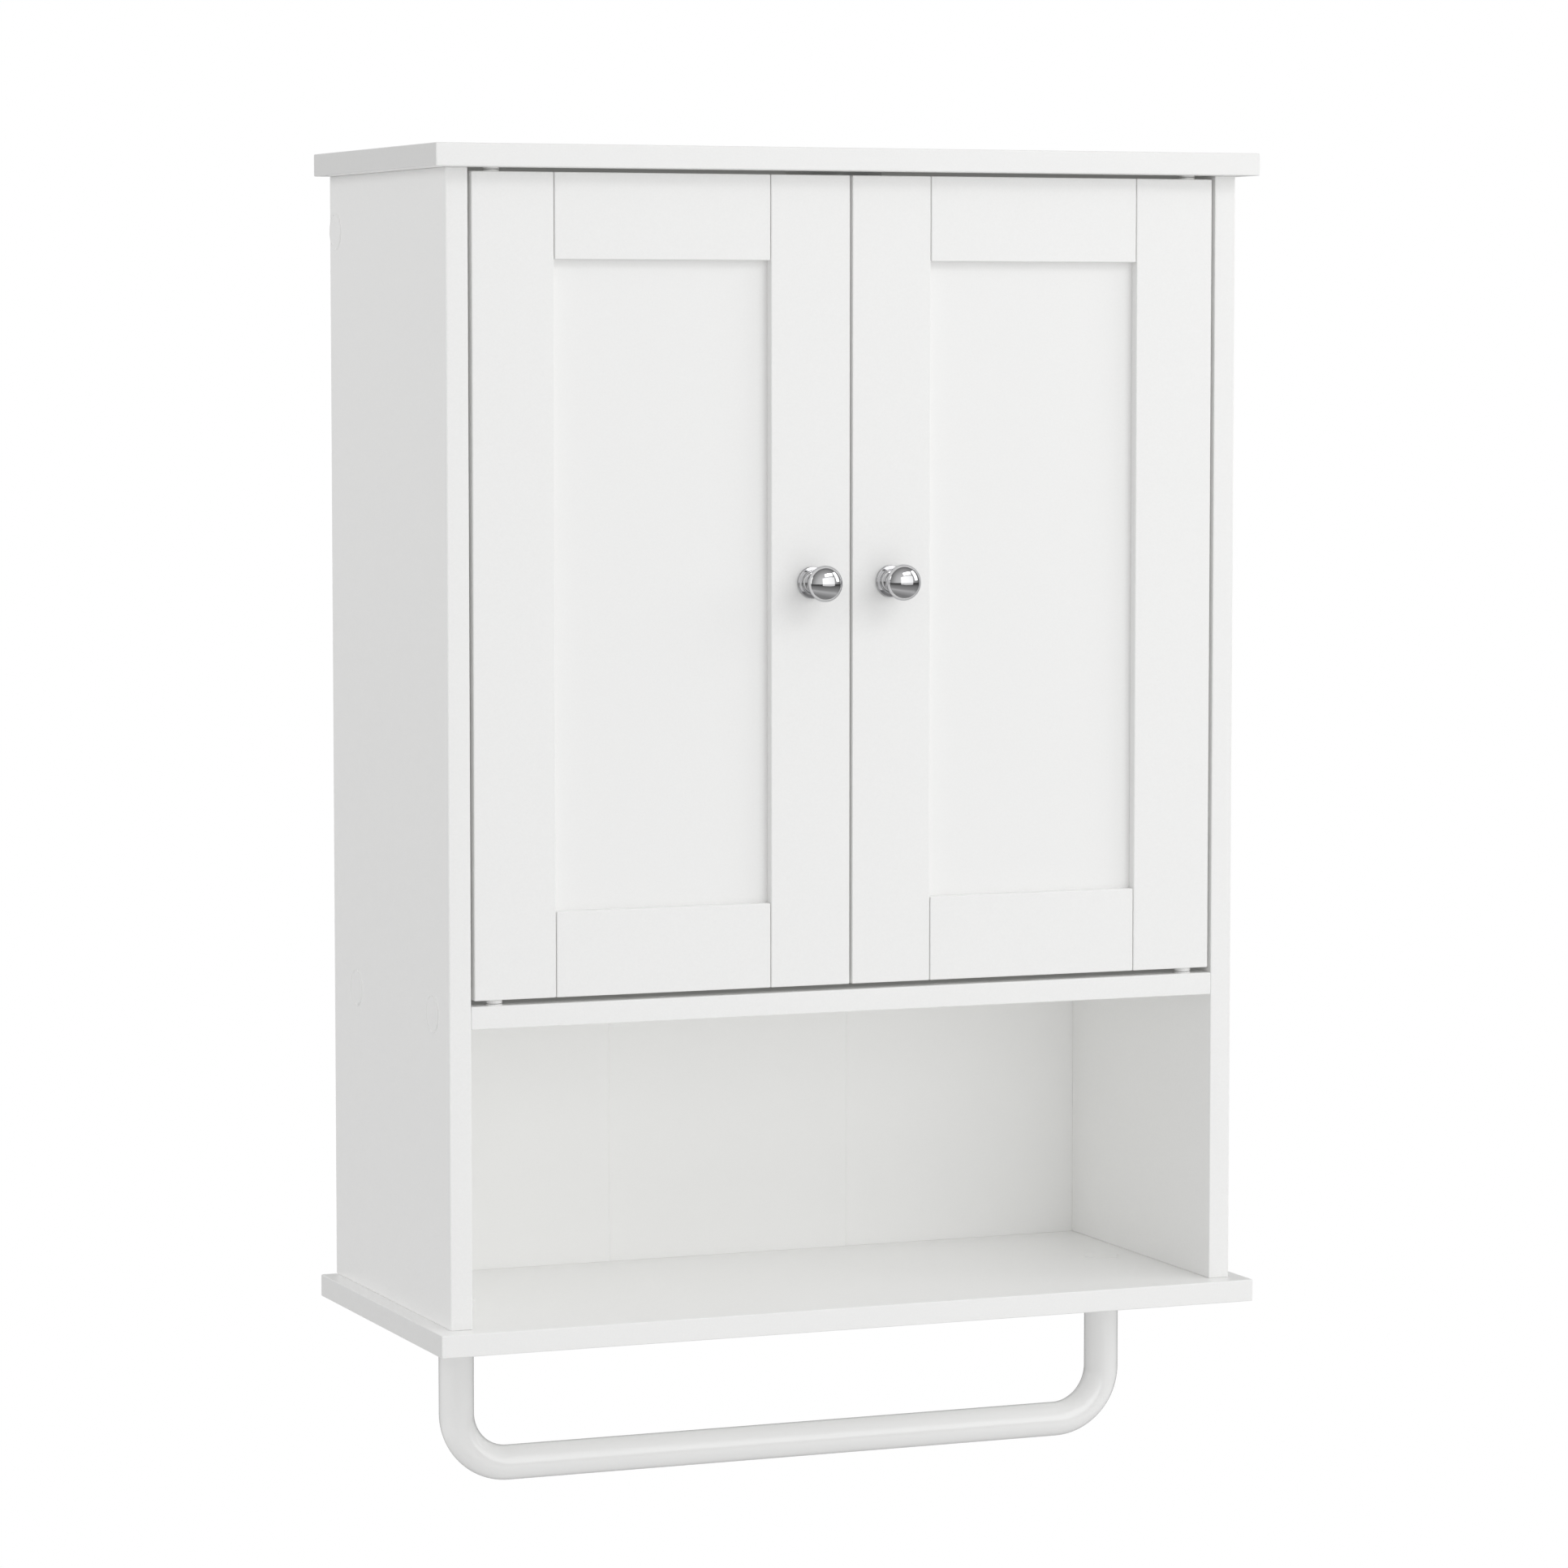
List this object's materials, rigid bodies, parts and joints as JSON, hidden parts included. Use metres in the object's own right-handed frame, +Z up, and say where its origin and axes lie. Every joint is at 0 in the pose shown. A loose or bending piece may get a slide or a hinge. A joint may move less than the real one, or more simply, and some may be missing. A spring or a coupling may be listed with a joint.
{
  "type": "hanging wall cabinet",
  "caption": "Shallow white wall cabinet with two framed inset doors, an open niche below them and a towel bar under the bottom board",
  "frame": {"origin": "midpoint between the two wall screw holes, on the wall plane that the rear edges of the boards touch", "axes": "+X to the right as seen from the front, +Y back into the wall, +Z up; the doors face -Y"},
  "size_m": [0.47, 0.221, 0.7165],
  "materials": {
    "white_board": "white melamine facing on fibreboard, satin, finely textured",
    "back_board": "white lacquered thin fibreboard, satin",
    "door_frame": "white melamine facing on fibreboard, satin, finely textured",
    "door_panel": "white melamine facing on thin fibreboard, satin, finely textured",
    "white_painted_steel": "white powder coat, satin",
    "chrome": "polished",
    "white_nylon": "moulded, slightly glossy",
    "catch_plastic": "moulded, matt",
    "cover_sticker": "thin printed film, satin",
    "zinc_steel": "zinc plated",
    "zinc_diecast": "die cast, matt",
    "dowel_wood": "fluted beech, raw",
    "ferrite": "sintered, matt"
  },
  "bodies": {
    "cabinet": {"top_board": "white_board", "bottom_board": "white_board", "left_side_panel": "white_board", "right_side_panel": "white_board", "fixed_shelf": "white_board", "hanging_rail": "white_board", "back_panel": "back_board", "cam_bolts": "zinc_steel", "cam_locks": "zinc_diecast", "top_dowels": "dowel_wood", "shelf_screws": "zinc_steel", "rail_screws": "zinc_steel", "base_screws": "zinc_steel", "screw_covers": "cover_sticker", "shelf_pins": "white_nylon", "towel_bar": "white_painted_steel", "bar_inserts": "zinc_steel", "bar_screws": "zinc_steel", "top_pivot_pins": "white_nylon", "bottom_pivot_pins": "white_nylon", "catch_housing": "catch_plastic", "catch_magnets": "ferrite", "catch_poles": "zinc_steel", "catch_screws": "zinc_steel"},
    "left_door": {"left_hinge_stile": "door_frame", "left_lock_stile": "door_frame", "left_top_rail": "door_frame", "left_bottom_rail": "door_frame", "left_door_panel": "door_panel", "left_frame_dowels": "dowel_wood", "left_pivot_bushes": "white_nylon", "left_knob": "chrome", "left_knob_screw": "zinc_steel", "left_strike_plate": "zinc_steel", "left_strike_screw": "zinc_steel"},
    "right_door": {"right_hinge_stile": "door_frame", "right_lock_stile": "door_frame", "right_top_rail": "door_frame", "right_bottom_rail": "door_frame", "right_door_panel": "door_panel", "right_frame_dowels": "dowel_wood", "right_pivot_bushes": "white_nylon", "right_knob": "chrome", "right_knob_screw": "zinc_steel", "right_strike_plate": "zinc_steel", "right_strike_screw": "zinc_steel"},
    "loose_shelf": {"adjustable_shelf": "white_board"}
  },
  "joints": [
    {"name": "left_door_hinge", "type": "hinge", "parent": "cabinet", "child": "left_door", "pos_m": [-0.1995, -0.191, -0.18675], "axis": [0, 0, -1], "range_deg": [0, 130]},
    {"name": "right_door_hinge", "type": "hinge", "parent": "cabinet", "child": "right_door", "pos_m": [0.1995, -0.191, -0.18675], "axis": [0, 0, 1], "range_deg": [0, 130]},
    {"name": "shelf_lift", "type": "slide", "parent": "cabinet", "child": "loose_shelf", "axis": [0, 0, 1], "range_m": [0, 0.032]}
  ]
}
